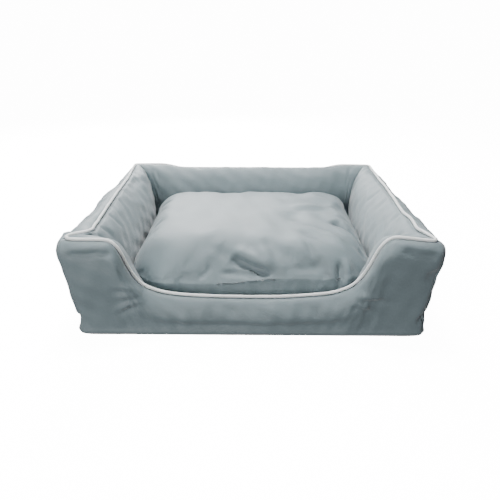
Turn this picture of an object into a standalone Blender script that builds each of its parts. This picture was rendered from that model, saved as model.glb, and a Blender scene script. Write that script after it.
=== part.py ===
"""Rectangular bolster pet bed with a low entry and a loose seat cushion.

Metres, +Z up. The origin is the middle of the footprint, on the floor, and the entry faces -Y.
Four stuffed walls meet at mitred corners. Each wall is a fill between an outer and an inner cover
panel, and one piping cord runs round the rim where those panels are sewn together.
"""
import math

import bmesh
import bpy
from mathutils import Matrix, Vector
from mathutils.bvhtree import BVHTree
from mathutils.geometry import interpolate_bezier

# Overall sizes
LENGTH = 0.700          # X, over the widest part of the arms
DEPTH = 0.560           # Y, over the widest part of the entry and back walls
WALL_HEIGHT = 0.205     # rim seam of the arms and of the entry posts
BACK_HEIGHT = 0.202     # rim seam in the middle of the back wall
ENTRY_HEIGHT = 0.084    # rim seam in the middle of the entry
CORNER_RISE = 0.005     # the sewn corners stand this much above the rim

# Walls, measured inward from a wall's widest outer line
ARM_THICKNESS = 0.088
BACK_THICKNESS = 0.080
ENTRY_THICKNESS = 0.052
POST_THICKNESS = 0.074  # every wall where it meets its neighbour
ARM_SEAM = 0.038        # rim seam along the middle of an arm
EDGE_SEAM = 0.013       # rim seam of the entry and back walls, and at the corners
TUCK = 0.010            # how far the outer cover tucks in at the floor
ZIP_TUCK = 0.020        # the same along the back, above which its zip lies
ARM_FOOT = 0.070        # where the inner cover meets the deck
BACK_FOOT = 0.064
ENTRY_FOOT = 0.044
POST_FOOT = 0.060

MITRE_ROOM = 0.012      # from the mitre's inner end to the first square section
SWELL = 0.070           # length over which a wall grows from its corner to its full section

# Entry: the rim drops from the posts in an S-curve
POST_WIDTH = 0.088      # flat rim beside the corner
ENTRY_CURVE = 0.142     # length of the S-curve along X
CURVE_TOP = 0.017       # its handle at the post
CURVE_FOOT = 0.120      # its handle at the low side

# Cloth and stitching
COVER = 0.0012          # thickness of the cover fabric
GAP = 0.0003            # between pieces that touch
SEAM_GAP = 0.0009       # from a panel's edge to its seam line
MITRE_GAP = 0.0019      # from a panel's end to its corner seam, clear of its neighbour's cloth
PIPING_RADIUS = 0.0032
PIPING_GAP = 0.0006     # from the cord to the seam under it

# Base
BASE_THICKNESS = 0.0016
PAD_THICKNESS = 0.0050
DECK_THICKNESS = 0.0012
BASE_MARGIN = 0.004     # the base panel stops this far inside the tucked-in cover
BASE_CORNER = 0.030

# Seat cushion
CUSHION_CLEARANCE = 0.003   # to the walls
ZIP_ROOM = 0.008            # more at the rear, so that the zip clears the back wall's belly
CUSHION_EDGE = 0.096        # height of the side above the deck, to where the crown starts
CUSHION_TILT = 0.012        # the rear edge stands this much higher, and the front edge lower
CUSHION_CROWN = 0.052       # rise of the middle above that
REAR_CORNER = 0.05          # how far the plan is drawn in at the corners, as a share
FRONT_CORNER = 0.12
CUSHION_BELLY = 0.006       # how far the sides swell between bottom and top
CUSHION_SEAM = 0.030        # height of the seam between the top and bottom panels
CUSHION_CUTS = 5
CUSHION_LEVELS = 1

# Zips
ZIP_LENGTH = 0.360
TAPE_WIDTH = 0.024
TAPE_THICKNESS = 0.0006
CHAIN_WIDTH = 0.0056
CHAIN_THICKNESS = 0.0018
SLIDER_LENGTH = 0.0110
SLIDER_WIDTH = 0.0088
SLIDER_HEIGHT = 0.0030
SLIDER_WALL = 0.0010
BRIDGE_RADIUS = 0.0006
BRIDGE_SPAN = 0.0070
BRIDGE_GAP = 0.0018     # under the bridge, for the pull's crossbar
PULL_LENGTH = 0.0150
PULL_WIDTH = 0.0052
PULL_THICKNESS = 0.0010
PULL_BAR = 0.0010       # width of the metal round the eye
PULL_EYE = 0.0042
RING_ZIP_HEIGHT = 0.0200

# Mesh fineness
PROFILE_STEPS = 5
CURVE_STEPS = 8
SWELL_STATIONS = 3

# Levels and places worked out from the sizes
BASE_TOP = BASE_THICKNESS
PAD_BOTTOM = BASE_TOP + GAP
DECK_BOTTOM = PAD_BOTTOM + PAD_THICKNESS + GAP
DECK_TOP = DECK_BOTTOM + DECK_THICKNESS
COVER_BOTTOM = BASE_TOP + GAP
INNER_BOTTOM = DECK_TOP + GAP
CUSHION_BOTTOM = DECK_TOP + GAP

FABRIC = ("grey_fabric", (0.36, 0.40, 0.41), 0.62, 0.0)
LINING = ("grey_lining", (0.30, 0.34, 0.35), 0.75, 0.0)
BASE_CLOTH = ("base_cloth", (0.10, 0.11, 0.12), 0.80, 0.0)
STUFFING = ("white_stuffing", (0.85, 0.85, 0.83), 0.95, 0.0)
PIPING = ("pale_piping", (0.66, 0.68, 0.68), 0.60, 0.0)
TAPE = ("zip_tape", (0.20, 0.22, 0.23), 0.80, 0.0)
NYLON = ("zip_nylon", (0.16, 0.17, 0.18), 0.40, 0.0)
METAL = ("zip_metal", (0.55, 0.56, 0.57), 0.30, 1.0)


def clear_scene():
    for thing in list(bpy.data.objects):
        bpy.data.objects.remove(thing, do_unlink=True)


def new_collection(name):
    made = bpy.data.collections.new(name)
    bpy.context.scene.collection.children.link(made)
    return made


def material(spec):
    name, colour, roughness, metallic = spec
    made = bpy.data.materials.get(name)
    if made is None:
        made = bpy.data.materials.new(name)
        made.use_nodes = True
        shader = made.node_tree.nodes["Principled BSDF"]
        shader.inputs["Base Color"].default_value = (*colour, 1.0)
        shader.inputs["Roughness"].default_value = roughness
        shader.inputs["Metallic"].default_value = metallic
        made.diffuse_color = (*colour, 1.0)
    return made


def add_object(name, data, spec):
    made = bpy.data.objects.new(name, data)
    data.materials.clear()
    data.materials.append(material(spec))
    BED.objects.link(made)
    return made


def finished_mesh(name, bm, smooth=True):
    bmesh.ops.recalc_face_normals(bm, faces=bm.faces)
    mesh = bpy.data.meshes.new(name)
    bm.to_mesh(mesh)
    bm.free()
    if smooth:
        mesh.shade_smooth()
        mesh.set_sharp_from_angle(angle=math.radians(50))
    return mesh


def shrink(bm, distance):
    """Moves every face of a closed mesh inward by at least a distance."""
    bmesh.ops.recalc_face_normals(bm, faces=bm.faces)
    bm.normal_update()
    moves = []
    for vert in bm.verts:
        steepest = min(vert.normal.dot(face.normal) for face in vert.link_faces)
        moves.append(vert.normal * distance / max(0.4, steepest))
    for vert, move in zip(bm.verts, moves):
        vert.co -= move


# ---------------------------------------------------------------- wall sections

def curve_2d(start, handle_a, handle_b, end, steps):
    points = (Vector((*p, 0.0)) for p in (start, handle_a, handle_b, end))
    return [(p.x, p.y) for p in interpolate_bezier(*points, steps + 1)]


def outer_half(size):
    """From the floor up over the outer shoulder to the rim seam, as (inward, height)."""
    belly = 0.42 * size["height"]
    foot = (size["tuck"], COVER_BOTTOM)
    widest = (0.0, belly)
    seam = (size["seam"], size["height"])
    lower = curve_2d(foot, (0.60 * size["tuck"], COVER_BOTTOM + 0.16 * belly),
                     (0.0, 0.62 * belly), widest, PROFILE_STEPS)
    upper = curve_2d(widest, (0.0, 0.80 * size["height"]),
                     (0.30 * size["seam"], size["height"]), seam, PROFILE_STEPS)
    return lower + upper[1:]


def inner_half(size):
    """From the rim seam over the inner shoulder and down to the deck, as (inward, height)."""
    seam = (size["seam"], size["height"])
    full = (size["thickness"], 0.55 * size["height"])
    foot = (size["foot"], INNER_BOTTOM)
    across = size["thickness"] - size["seam"]
    upper = curve_2d(seam, (size["seam"] + 0.60 * across, size["height"]),
                     (size["thickness"], 0.86 * size["height"]), full, PROFILE_STEPS)
    lower = curve_2d(full, (size["thickness"], 0.36 * size["height"]),
                     (size["foot"] + 0.3 * (size["thickness"] - size["foot"]),
                      INNER_BOTTOM + 0.04 * size["height"]), foot, PROFILE_STEPS)
    return upper + lower[1:]


def whole_outline(size):
    """A wall's whole section: outer half, inner half and its flat underside."""
    return outer_half(size) + inner_half(size)[1:] + [(size["foot"], COVER_BOTTOM)]


def seam_normal(size):
    """Outward from the rim seam, halfway between its two panels, as (inward, height)."""
    before = Vector(outer_half(size)[-2])
    after = Vector(inner_half(size)[1])
    seam = Vector((size["seam"], size["height"]))
    first = (seam - before).normalized()
    second = (after - seam).normalized()
    return (Vector((-first.y, first.x)) + Vector((-second.y, second.x))).normalized()


# ---------------------------------------------------------------- walls along their length

def blend(a, b, share):
    share = min(1.0, max(0.0, share))
    share = share * share * (3 - 2 * share)
    return {key: a[key] + (b[key] - a[key]) * share for key in a}


CORNER = {"height": WALL_HEIGHT + CORNER_RISE, "seam": EDGE_SEAM,
          "thickness": POST_THICKNESS, "foot": POST_FOOT, "tuck": TUCK}
ARM = {"height": WALL_HEIGHT, "seam": ARM_SEAM, "thickness": ARM_THICKNESS,
       "foot": ARM_FOOT, "tuck": TUCK}
BACK = {"height": BACK_HEIGHT, "seam": EDGE_SEAM, "thickness": BACK_THICKNESS,
        "foot": BACK_FOOT, "tuck": ZIP_TUCK}
POST = {"height": WALL_HEIGHT, "seam": EDGE_SEAM, "thickness": POST_THICKNESS,
        "foot": POST_FOOT, "tuck": TUCK}
ENTRY = {"height": ENTRY_HEIGHT, "seam": EDGE_SEAM, "thickness": ENTRY_THICKNESS,
         "foot": ENTRY_FOOT, "tuck": TUCK}


def straight_stations(half, middle):
    """Stations of an arm or of the back: (place along the wall, section size, mitred)."""
    reach = half - POST_THICKNESS - MITRE_ROOM
    side = [(half, CORNER, True)]
    for i in range(SWELL_STATIONS + 1):
        share = i / SWELL_STATIONS
        side.append((reach - SWELL * share, blend(CORNER, middle, share), False))
    return [(-a, s, m) for a, s, m in side] + [(0.0, middle, False)] + side[::-1]


def entry_stations(half):
    post = half - POST_WIDTH
    low = post - ENTRY_CURVE
    curve = curve_2d((post, WALL_HEIGHT), (post - CURVE_TOP, WALL_HEIGHT),
                     (low + CURVE_FOOT, ENTRY_HEIGHT), (low, ENTRY_HEIGHT), CURVE_STEPS)
    side = [(half, CORNER, True)]
    for along, height in curve:
        share = (WALL_HEIGHT - height) / (WALL_HEIGHT - ENTRY_HEIGHT)
        size = blend(POST, ENTRY, share)
        size["height"] = height
        side.append((along, size, False))
    middle = [(0.0, ENTRY, False)]
    return [(-a, s, m) for a, s, m in side] + middle + side[::-1]


WALLS = {
    "front": {"turn": 0, "half": LENGTH / 2, "out": DEPTH / 2,
              "stations": entry_stations(LENGTH / 2)},
    "right": {"turn": 90, "half": DEPTH / 2, "out": LENGTH / 2,
              "stations": straight_stations(DEPTH / 2, ARM)},
    "back": {"turn": 180, "half": LENGTH / 2, "out": DEPTH / 2,
             "stations": straight_stations(LENGTH / 2, BACK)},
    "left": {"turn": 270, "half": DEPTH / 2, "out": LENGTH / 2,
             "stations": straight_stations(DEPTH / 2, ARM)},
}


def placed(wall, station, inward, height, mitre_gap=0.0):
    """A point of a wall's section in the bed's frame."""
    along, _, mitred = station
    if mitred:
        along = math.copysign(abs(along) - inward - mitre_gap, along)
    local = Vector((along, -(wall["out"] - inward), height))
    return Matrix.Rotation(math.radians(wall["turn"]), 3, "Z") @ local


def panel_rows(wall, half_section, skip_seam_at):
    """Rows of points of a panel's outer face, its seam edge drawn back from the rim."""
    rows = []
    for station in wall["stations"]:
        points = [Vector(p) for p in half_section(station[1])]
        edge, inner = (points[-1], points[-2]) if skip_seam_at == "end" else (points[0], points[1])
        drawn = edge + (inner - edge).normalized() * SEAM_GAP
        points[-1 if skip_seam_at == "end" else 0] = drawn
        rows.append([placed(wall, station, p.x, p.y, MITRE_GAP) for p in points])
    return rows


def grid_surface(bm, rows):
    verts = [[bm.verts.new(p) for p in row] for row in rows]
    for row, following in zip(verts, verts[1:]):
        for i in range(len(row) - 1):
            bm.faces.new((row[i], following[i], following[i + 1], row[i + 1]))
    return verts


def add_panel(name, rows, outward, spec):
    """A sewn panel: an open surface, thickened towards the stuffing."""
    bm = bmesh.new()
    grid_surface(bm, rows)
    bm.normal_update()
    middle = bm.faces[:][len(bm.faces) // 2]
    if middle.normal.dot(outward) < 0:
        bmesh.ops.reverse_faces(bm, faces=bm.faces)
    mesh = bpy.data.meshes.new(name)
    bm.to_mesh(mesh)
    bm.free()
    mesh.shade_smooth()
    panel = add_object(name, mesh, spec)
    thick = panel.modifiers.new("thickness", "SOLIDIFY")
    thick.thickness = COVER
    thick.offset = -1.0
    thick.use_even_offset = True
    return panel


def add_wall(side):
    wall = WALLS[side]
    outward = Matrix.Rotation(math.radians(wall["turn"]), 3, "Z") @ Vector((0, -1, 0))
    add_panel(f"{side}_outer_panel", panel_rows(wall, outer_half, "end"), outward, FABRIC)
    add_panel(f"{side}_inner_panel", panel_rows(wall, inner_half, "start"), -outward, FABRIC)
    add_fill(side, wall)


def add_fill(side, wall):
    """The stuffing of one wall: a closed loft through its sections, shrunk inside its cover."""
    bm = bmesh.new()
    rings = [[bm.verts.new(placed(wall, station, *p, MITRE_GAP)) for p in
              whole_outline(station[1])] for station in wall["stations"]]
    count = len(rings[0])
    for ring, following in zip(rings, rings[1:]):
        for i in range(count):
            j = (i + 1) % count
            bm.faces.new((ring[i], ring[j], following[j], following[i]))
    bm.faces.new(rings[0][::-1])
    bm.faces.new(rings[-1])
    shrink(bm, COVER + 2 * GAP)
    add_object(f"{side}_fill", finished_mesh(f"{side}_fill", bm), STUFFING)


def add_rim_piping():
    """One closed piping cord along all four rim seams, clear above them."""
    seams, outward = [], []
    for wall in WALLS.values():
        for station in wall["stations"][:-1]:
            size = station[1]
            normal = seam_normal(size)
            here = placed(wall, station, size["seam"], size["height"])
            there = placed(wall, station, size["seam"] + normal.x, size["height"] + normal.y)
            seams.append(here)
            outward.append(there - here)
    count = len(seams)
    path = []
    for i, (seam, normal) in enumerate(zip(seams, outward)):
        along = (seams[(i + 1) % count] - seams[i - 1]).normalized()
        square = (normal - along * normal.dot(along)).normalized()
        path.append(seam + square * (PIPING_RADIUS + PIPING_GAP))
    curve = bpy.data.curves.new("rim_piping", "CURVE")
    curve.dimensions = "3D"
    curve.bevel_depth = PIPING_RADIUS
    curve.bevel_resolution = 2
    spline = curve.splines.new("POLY")
    spline.points.add(len(path) - 1)
    for point, place in zip(spline.points, path):
        point.co = (*place, 1.0)
    spline.use_cyclic_u = True
    return add_object("rim_piping", curve, PIPING)


# ---------------------------------------------------------------- base

def flat_plate(name, outline, bottom, thickness, spec):
    """A flat piece: a filled 2D outline, extruded to its thickness."""
    curve = bpy.data.curves.new(name, "CURVE")
    curve.dimensions = "2D"
    curve.fill_mode = "BOTH"
    curve.extrude = thickness / 2
    spline = curve.splines.new("POLY")
    spline.points.add(len(outline) - 1)
    for point, (x, y) in zip(spline.points, outline):
        point.co = (x, y, 0.0, 1.0)
    spline.use_cyclic_u = True
    plate = add_object(name, curve, spec)
    plate.location.z = bottom + thickness / 2
    weld = plate.modifiers.new("weld", "WELD")
    weld.merge_threshold = 0.00002
    return plate


def rounded_rectangle(half_x, half_y, radius, steps=6):
    points = []
    for quarter, (sx, sy) in enumerate(((1, 1), (-1, 1), (-1, -1), (1, -1))):
        for i in range(steps + 1):
            angle = math.radians(90 * quarter + 90 * i / steps)
            points.append((sx * (half_x - radius) + radius * math.cos(angle),
                           sy * (half_y - radius) + radius * math.sin(angle)))
    return points


def well_outline(clearance):
    """The line where the inner panels meet the deck, drawn in by a clearance."""
    points = []
    for side in ("front", "right", "back", "left"):
        wall = WALLS[side]
        for station in wall["stations"][:-1]:
            inward = station[1]["foot"] + clearance
            place = placed(wall, station, inward, 0.0)
            points.append((place.x, place.y))
    return points


def add_base():
    outline = rounded_rectangle(LENGTH / 2 - TUCK - BASE_MARGIN,
                                DEPTH / 2 - ZIP_TUCK - BASE_MARGIN, BASE_CORNER)
    flat_plate("base_panel", outline, 0.0, BASE_THICKNESS, BASE_CLOTH)
    flat_plate("base_pad", well_outline(2 * GAP), PAD_BOTTOM, PAD_THICKNESS, STUFFING)
    flat_plate("deck_panel", well_outline(2 * GAP), DECK_BOTTOM, DECK_THICKNESS, LINING)


# ---------------------------------------------------------------- seat cushion

CUSHION_LEFT = -(LENGTH / 2 - ARM_THICKNESS - CUSHION_CLEARANCE)
CUSHION_RIGHT = -CUSHION_LEFT
CUSHION_FRONT = -(DEPTH / 2 - ENTRY_THICKNESS - CUSHION_CLEARANCE)
CUSHION_REAR = DEPTH / 2 - BACK_THICKNESS - CUSHION_CLEARANCE - ZIP_ROOM
CUSHION_MIDDLE = (CUSHION_FRONT + CUSHION_REAR) / 2


def cushion_point(u, v, w):
    """Maps a cube from -1 to 1 to the cushion: soft plan corners, a belly and a crown."""
    half_x = CUSHION_RIGHT - CUSHION_BELLY
    half_y = (CUSHION_REAR - CUSHION_FRONT) / 2 - CUSHION_BELLY
    corner = (REAR_CORNER if v > 0 else FRONT_CORNER) * (u * v) ** 4
    swell = CUSHION_BELLY * (1 - w * w)
    x = (half_x + swell) * u * (1 - corner)
    y = CUSHION_MIDDLE + (half_y + swell) * v * (1 - corner)
    crown = CUSHION_CROWN * (1 - u ** 4) * (1 - v ** 4)
    top = CUSHION_BOTTOM + CUSHION_EDGE + CUSHION_TILT * v + crown
    return Vector((x, y, CUSHION_BOTTOM + (top - CUSHION_BOTTOM) * (w + 1) / 2))


def cushion_surface():
    """The cushion's closed outer surface, as an evaluated mesh."""
    bm = bmesh.new()
    bmesh.ops.create_cube(bm, size=2.0)
    bmesh.ops.subdivide_edges(bm, edges=bm.edges[:], cuts=CUSHION_CUTS, use_grid_fill=True)
    for vert in bm.verts:
        vert.co = cushion_point(*vert.co)
    cage = bpy.data.objects.new("cushion_cage", finished_mesh("cushion_cage", bm))
    cage.hide_render = True
    cage.display_type = "WIRE"
    GUIDES.objects.link(cage)
    smooth = cage.modifiers.new("smooth", "SUBSURF")
    smooth.levels = CUSHION_LEVELS
    smooth.render_levels = CUSHION_LEVELS
    bpy.context.view_layer.update()
    evaluated = cage.evaluated_get(bpy.context.evaluated_depsgraph_get())
    surface = bpy.data.meshes.new_from_object(evaluated)
    bpy.data.objects.remove(cage, do_unlink=True)
    return surface


def cushion_panel(name, surface, keep_upper):
    """One cover panel: the part of the surface above or below the seam."""
    seam = CUSHION_BOTTOM + CUSHION_SEAM
    bm = bmesh.new()
    bm.from_mesh(surface)
    bmesh.ops.bisect_plane(bm, geom=bm.verts[:] + bm.edges[:] + bm.faces[:], dist=0.00001,
                           plane_co=(0, 0, seam), plane_no=(0, 0, 1),
                           clear_inner=keep_upper, clear_outer=not keep_upper)
    shift = GAP if keep_upper else -GAP
    for vert in bm.verts:
        if abs(vert.co.z - seam) < 0.00005:
            vert.co.z += shift
    mesh = bpy.data.meshes.new(name)
    bm.to_mesh(mesh)
    bm.free()
    mesh.shade_smooth()
    panel = add_object(name, mesh, FABRIC)
    thick = panel.modifiers.new("thickness", "SOLIDIFY")
    thick.thickness = COVER
    thick.offset = -1.0
    return panel


def add_cushion(surface):
    cushion_panel("cushion_top_panel", surface, keep_upper=True)
    cushion_panel("cushion_bottom_panel", surface, keep_upper=False)
    bm = bmesh.new()
    bm.from_mesh(surface)
    shrink(bm, COVER + 2 * GAP)
    add_object("cushion_fill", finished_mesh("cushion_fill", bm), STUFFING)


# ---------------------------------------------------------------- zips

def box_mesh(name, size, centre=(0, 0, 0)):
    bm = bmesh.new()
    bmesh.ops.create_cube(bm, size=1.0)
    bmesh.ops.scale(bm, vec=size, verts=bm.verts)
    bmesh.ops.translate(bm, vec=centre, verts=bm.verts)
    return finished_mesh(name, bm, smooth=False)


def hung_on(parent, made, place=(0, 0, 0)):
    made.parent = parent
    made.location = place
    return made


def add_empty(name, parent=None, place=(0, 0, 0)):
    made = bpy.data.objects.new(name, None)
    BED.objects.link(made)
    return hung_on(parent, made, place)


def add_box(name, parent, place, size, bevel, spec):
    made = hung_on(parent, add_object(name, box_mesh(name, size), spec), place)
    if bevel:
        soft = made.modifiers.new("edges", "BEVEL")
        soft.width = bevel
        soft.segments = 1
    return made


def combine(target, operation, name, size, centre):
    """Joins a box to a piece or takes one out of it. The box moves with the piece."""
    tool = bpy.data.objects.new(f"{target.name}_{name}", box_mesh(name, size, centre))
    tool.hide_render = True
    tool.display_type = "WIRE"
    GUIDES.objects.link(tool)
    tool.parent = target
    boolean = target.modifiers.new(name, "BOOLEAN")
    boolean.operation = operation
    boolean.object = tool


def add_zip(prefix, y, height, lean):
    """A closed zip along X, sewn on a face at y that faces +Y and leans back by an angle.

    The slider is parked at the +X end. The carriage empty is the sliding body's origin, and the
    hinge empty lies on the pull's axis, under the slider's bridge.
    """
    seat = add_empty(f"{prefix}_zip", place=(0, y, height))
    seat.rotation_euler.x = lean
    add_box(f"{prefix}_zip_tape", seat, (0, GAP + TAPE_THICKNESS / 2, 0),
            (ZIP_LENGTH, TAPE_THICKNESS, TAPE_WIDTH), 0, TAPE)
    chain_bottom = TAPE_THICKNESS + 2 * GAP
    add_box(f"{prefix}_zip_chain", seat, (0, chain_bottom + CHAIN_THICKNESS / 2, 0),
            (ZIP_LENGTH - 2 * SLIDER_WALL, CHAIN_THICKNESS, CHAIN_WIDTH), 0.0005, NYLON)

    slider_x = ZIP_LENGTH / 2 - SLIDER_LENGTH / 2 - 2 * SLIDER_WALL
    carriage = add_empty(f"{prefix}_zip_carriage", seat, (slider_x, chain_bottom, 0))
    add_slider(f"{prefix}_zip_slider", carriage)
    pin_height = SLIDER_HEIGHT + BRIDGE_GAP / 2
    hinge = add_empty(f"{prefix}_zip_hinge", carriage, (0, pin_height, 0))
    add_pull(f"{prefix}_zip_pull", hinge)


def add_slider(name, carriage):
    """A channel that straddles the chain, with a bridge along it for the pull."""
    body = add_box(name, carriage, (0, SLIDER_HEIGHT / 2, 0),
                   (SLIDER_LENGTH, SLIDER_HEIGHT, SLIDER_WIDTH), 0.0004, METAL)
    channel = CHAIN_THICKNESS + GAP
    combine(body, "DIFFERENCE", "channel",
            (SLIDER_LENGTH * 2, 2 * channel, CHAIN_WIDTH + 4 * GAP),
            (0, -SLIDER_HEIGHT / 2, 0))
    wire = 2 * BRIDGE_RADIUS
    top = SLIDER_HEIGHT / 2
    leg_x = (BRIDGE_SPAN - wire) / 2
    for leg, x in (("nose", leg_x), ("tail", -leg_x)):
        combine(body, "UNION", leg, (wire, BRIDGE_GAP + wire, wire),
                (x, top + (BRIDGE_GAP + wire) / 2 - GAP, 0))
    combine(body, "UNION", "arch", (BRIDGE_SPAN, wire, wire),
            (0, top + BRIDGE_GAP + wire / 2, 0))


def add_pull(name, hinge):
    """A flat tab whose eye goes round the bridge; the crossbar at its end lies under it."""
    bar = PULL_BAR
    middle = bar / 2 - PULL_LENGTH / 2
    pull = add_box(name, hinge, (middle, 0, 0), (PULL_LENGTH, PULL_THICKNESS, PULL_WIDTH),
                   0.0002, METAL)
    combine(pull, "DIFFERENCE", "eye", (PULL_EYE, PULL_THICKNESS * 4, PULL_WIDTH - 2 * bar),
            (-middle - bar / 2 - PULL_EYE / 2, 0, 0))


def ring_zip_seat():
    """Where the back wall's lower outer face carries its zip: (y, height, lean)."""
    points = outer_half(BACK)
    nearest = min(range(1, len(points) - 1), key=lambda i: abs(points[i][1] - RING_ZIP_HEIGHT))
    before, here, after = points[nearest - 1], points[nearest], points[nearest + 1]
    lean = math.atan2(after[0] - before[0], after[1] - before[1])
    return DEPTH / 2 - here[0], here[1], lean


def cushion_zip_seat(surface):
    """A line that just touches the cushion's rear side at the seam: (y, height, lean)."""
    tree = BVHTree.FromPolygons([v.co for v in surface.vertices],
                                [p.vertices[:] for p in surface.polygons])
    seam = CUSHION_BOTTOM + CUSHION_SEAM
    heights = [seam + TAPE_WIDTH * share for share in (-0.5, -0.25, 0.0, 0.25, 0.5)]
    rear = [tree.ray_cast(Vector((0, DEPTH, z)), Vector((0, -1, 0)))[0].y for z in heights]
    slope = (rear[-1] - rear[0]) / TAPE_WIDTH
    y = max(there - slope * (z - seam) for there, z in zip(rear, heights))
    return y, seam, -math.atan(slope)


clear_scene()
BED = new_collection("pet_cushion_bed")
GUIDES = new_collection("guides")

for wall_side in WALLS:
    add_wall(wall_side)
add_rim_piping()
add_base()
cushion_outside = cushion_surface()
add_cushion(cushion_outside)
add_zip("cushion", *cushion_zip_seat(cushion_outside))
add_zip("ring", *ring_zip_seat())
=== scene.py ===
"""Looks of a bolster pet bed with a low entry and a loose seat cushion.

The walls' cover starts as one grid of cloth: columns go round the bed, and rows climb the outside
from the floor to the piped rim and go down the inside to the deck. The grid is shaped from wall
sections, rounded at the corners, folded and puckered, and cut into its sewn panels at the end.
Metres, +Z up, the entry faces -Y.
"""

import math

import bmesh
import bpy
import numpy as np
from mathutils import Matrix, Vector
from mathutils.kdtree import KDTree


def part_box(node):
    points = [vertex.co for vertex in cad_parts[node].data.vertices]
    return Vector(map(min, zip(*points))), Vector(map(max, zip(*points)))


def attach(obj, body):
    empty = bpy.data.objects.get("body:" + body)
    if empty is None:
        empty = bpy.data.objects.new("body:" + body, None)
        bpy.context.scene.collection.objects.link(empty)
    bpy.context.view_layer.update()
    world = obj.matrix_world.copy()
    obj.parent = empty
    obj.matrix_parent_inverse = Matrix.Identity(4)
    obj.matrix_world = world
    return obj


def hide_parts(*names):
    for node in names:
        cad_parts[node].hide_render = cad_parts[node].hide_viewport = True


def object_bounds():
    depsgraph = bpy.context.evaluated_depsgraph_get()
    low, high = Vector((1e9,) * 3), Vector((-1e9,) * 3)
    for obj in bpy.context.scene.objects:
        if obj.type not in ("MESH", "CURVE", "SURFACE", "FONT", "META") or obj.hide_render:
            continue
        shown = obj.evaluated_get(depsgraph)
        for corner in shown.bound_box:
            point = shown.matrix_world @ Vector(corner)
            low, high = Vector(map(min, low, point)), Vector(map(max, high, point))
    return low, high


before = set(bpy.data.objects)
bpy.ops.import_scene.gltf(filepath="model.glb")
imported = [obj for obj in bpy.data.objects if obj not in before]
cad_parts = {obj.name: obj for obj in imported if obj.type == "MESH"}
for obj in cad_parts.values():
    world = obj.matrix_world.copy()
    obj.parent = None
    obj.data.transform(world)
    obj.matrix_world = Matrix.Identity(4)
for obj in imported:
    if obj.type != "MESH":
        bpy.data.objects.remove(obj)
CAD_LOW, CAD_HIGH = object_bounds()

# ---------------------------------------------------------------- sizes from the frame

HALF_X = CAD_HIGH.x
HALF_Y = CAD_HIGH.y
ARM_DEEP = HALF_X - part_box("right_inner_panel")[0].x
BACK_DEEP = HALF_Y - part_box("back_inner_panel")[0].y
ENTRY_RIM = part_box("rim_piping")[0].z
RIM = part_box("rim_piping")[1].z - 0.007         # top of the sewn corners, under the piping
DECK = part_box("deck_panel")[1].z

# ---------------------------------------------------------------- sizes of the cloth

SPACING = 0.005         # of the cloth grid
OUT_ROWS = 50           # from the floor to the rim seam
IN_ROWS = 52            # from the rim seam to the deck
CORNER_DROP = 0.005     # the rim between the corners lies this much lower
POST_DEEP = 0.074
ENTRY_DEEP = 0.050
MITRE_ROOM = 0.012
FAN_START, FAN_END = 0.090, 0.262       # where the entry's columns fan out, along the front
PIPING_RADIUS = 0.0031
CLOTH = 0.0012
ZIP_TAPE = 0.0010
COIL_PITCH = 0.0016     # of the zips' nylon coils


# ---------------------------------------------------------------- small tools

def smooth(x):
    x = np.clip(x, 0.0, 1.0)
    return x * x * (3 - 2 * x)


def mix(a, b, t):
    return a + (b - a) * t


def spline(points, count=None):
    """A Catmull-Rom curve through points, resampled to evenly spaced ones."""
    points = np.asarray(points, float)
    ends = np.vstack([2 * points[0] - points[1], points, 2 * points[-1] - points[-2]])
    t = np.linspace(0, 1, 12, endpoint=False)[:, None]
    fine = []
    for a, b, c, d in zip(ends, ends[1:], ends[2:], ends[3:]):
        fine.append(0.5 * (2 * b + (c - a) * t + (2 * a - 5 * b + 4 * c - d) * t ** 2
                           + (3 * b - a - 3 * c + d) * t ** 3))
    fine = np.vstack(fine + [points[-1:]])
    return fine if count is None else resample(fine, count)


def resample(line, count):
    run = np.concatenate([[0], np.cumsum(np.linalg.norm(np.diff(line, axis=0), axis=1))])
    at = np.linspace(0, run[-1], count)
    return np.stack([np.interp(at, run, line[:, k]) for k in range(line.shape[1])], 1)


def waves(x, y, seed, size):
    """Soft, repeatable unevenness: a few crossed sines, about -1 to 1."""
    rng = np.random.default_rng(seed)
    total = np.zeros(np.broadcast(x, y).shape)
    for _ in range(7):
        angle, phase = rng.uniform(0, math.tau, 2)
        length = size * rng.uniform(0.6, 1.8)
        total += np.sin((x * math.cos(angle) + y * math.sin(angle)) * math.tau / length + phase)
    return total / 3.0


# ---------------------------------------------------------------- wall sections

# One section from the floor up the outside, over the top and down the inside, as (inward, height):
# the foot in metres, the rest in shares of the wall's depth and of its rim height.
FOOT = [(0.018, 0.0016), (0.006, 0.0032), (0.000, 0.0110), (0.0030, 0.0250)]
BACK_FOOT = [(0.0230, 0.0016), (0.0212, 0.0045), (0.0182, 0.0110), (0.0128, 0.0250)]
SHAPE = {
    "arm": [(-0.01, 0.29), (-0.06, 0.52), (-0.11, 0.76), (-0.04, 0.955), (0.30, 1.025), (0.49, 0.975),
            (0.67, 0.89), (0.84, 0.76), (0.95, 0.58), (0.97, 0.37), (0.88, 0.17)],
    "back": [(0.01, 0.29), (-0.01, 0.52), (0.00, 0.75), (0.07, 0.92), (0.28, 1.00), (0.53, 0.985),
             (0.76, 0.90), (0.92, 0.75), (0.99, 0.56), (0.98, 0.37), (0.90, 0.17)],
    "post": [(0.02, 0.29), (-0.04, 0.52), (-0.08, 0.74), (-0.07, 0.91), (0.18, 1.00), (0.48, 0.99),
             (0.72, 0.92), (0.90, 0.77), (0.99, 0.57), (1.00, 0.37), (0.92, 0.17)],
    "entry": [(0.07, 0.36), (0.00, 0.50), (0.09, 0.69), (0.30, 0.89), (0.58, 1.00), (0.69, 0.985),
              (0.80, 0.93), (0.91, 0.82), (0.98, 0.66), (1.00, 0.48), (0.96, 0.28)],
}
INNER_FOOT = {"arm": 0.070, "back": 0.064, "post": 0.060, "entry": 0.044}
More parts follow.
